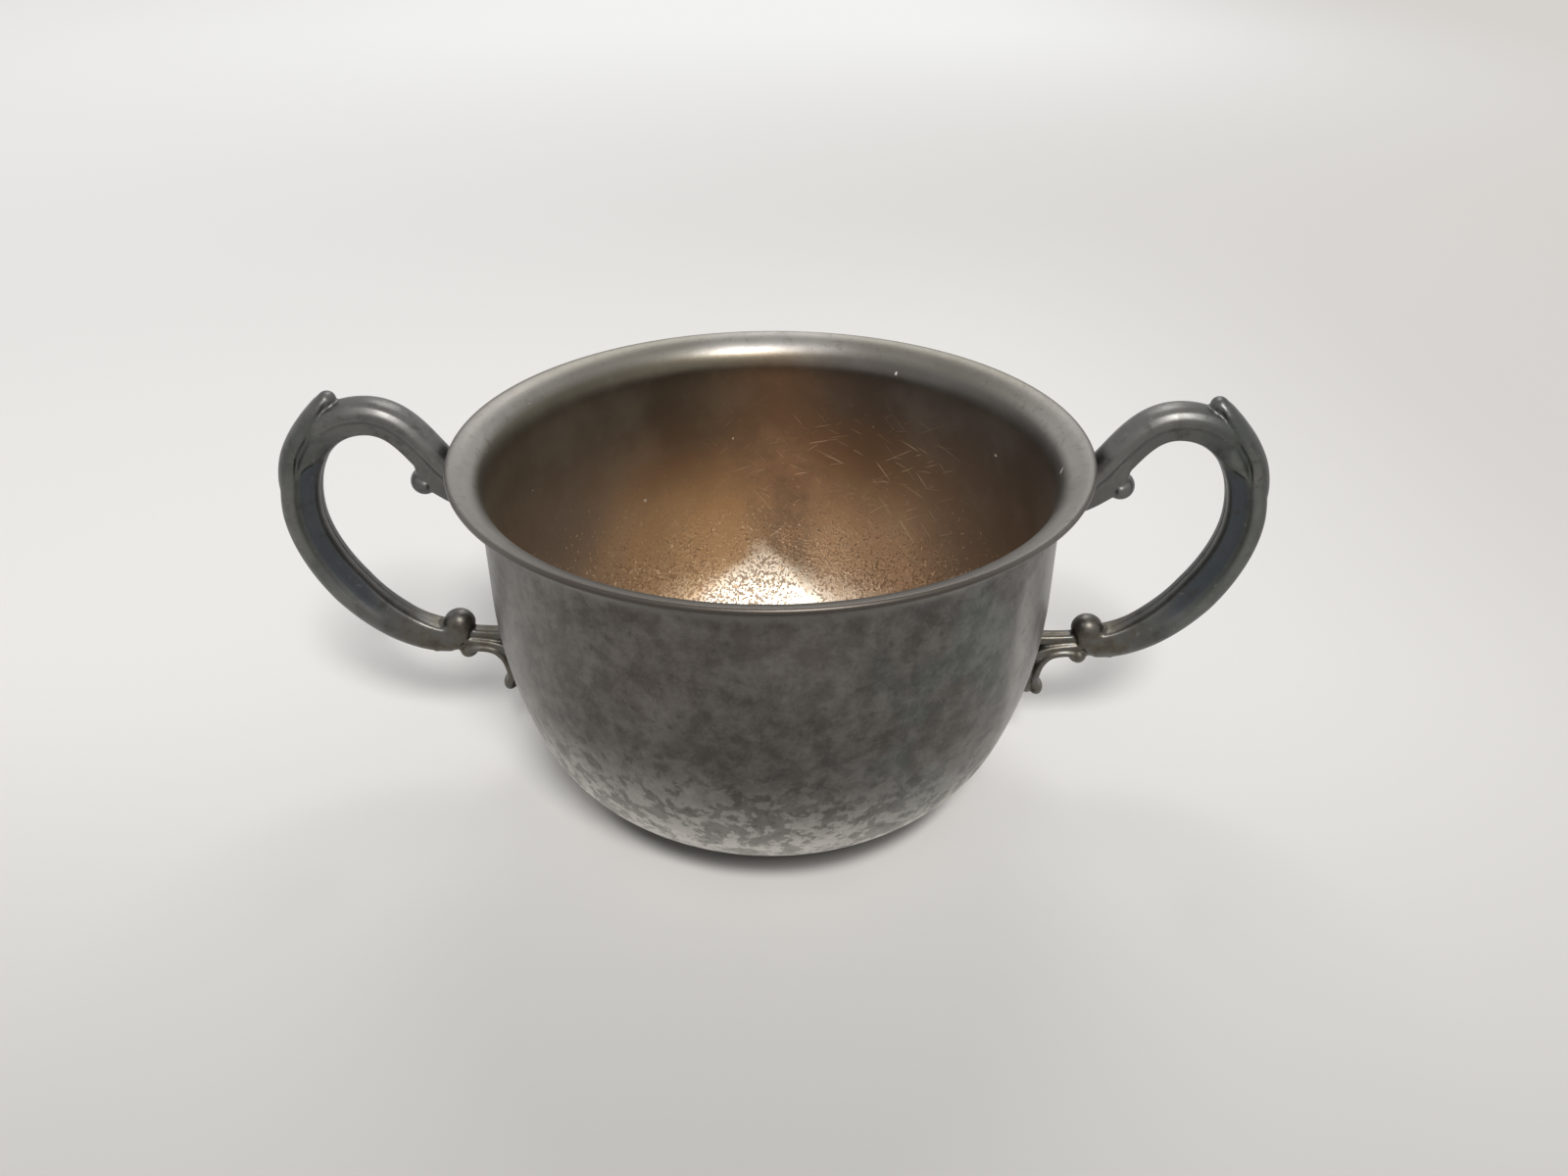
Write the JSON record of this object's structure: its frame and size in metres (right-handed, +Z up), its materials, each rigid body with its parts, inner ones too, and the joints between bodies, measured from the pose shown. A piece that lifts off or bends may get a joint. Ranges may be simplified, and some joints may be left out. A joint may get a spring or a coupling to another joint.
{
  "type": "communion chalice",
  "caption": "Two-handled communion cup with a spun bowl, an everted lip, a gilt inside and cast scroll handles soldered to its sides.",
  "frame": {"origin": "centre of the base, on the surface that the cup stands on", "axes": "+Z up along the bowl's axis, the two handles lie along X, and the side that is looked at faces -Y"},
  "size_m": [0.1666, 0.105, 0.0716],
  "materials": {
    "bowl_plate": "tarnished silver plate outside and gold wash inside, satin",
    "handle_casting": "darkly tarnished silver plate, satin",
    "solder": "dull grey, plated over"
  },
  "bodies": {
    "root": {"bowl_shell": "bowl_plate", "right_handle_front": "handle_casting", "right_handle_back": "handle_casting", "left_handle_front": "handle_casting", "left_handle_back": "handle_casting", "right_upper_solder": "solder", "right_lower_solder": "solder", "left_upper_solder": "solder", "left_lower_solder": "solder"}
  },
  "joints": []
}
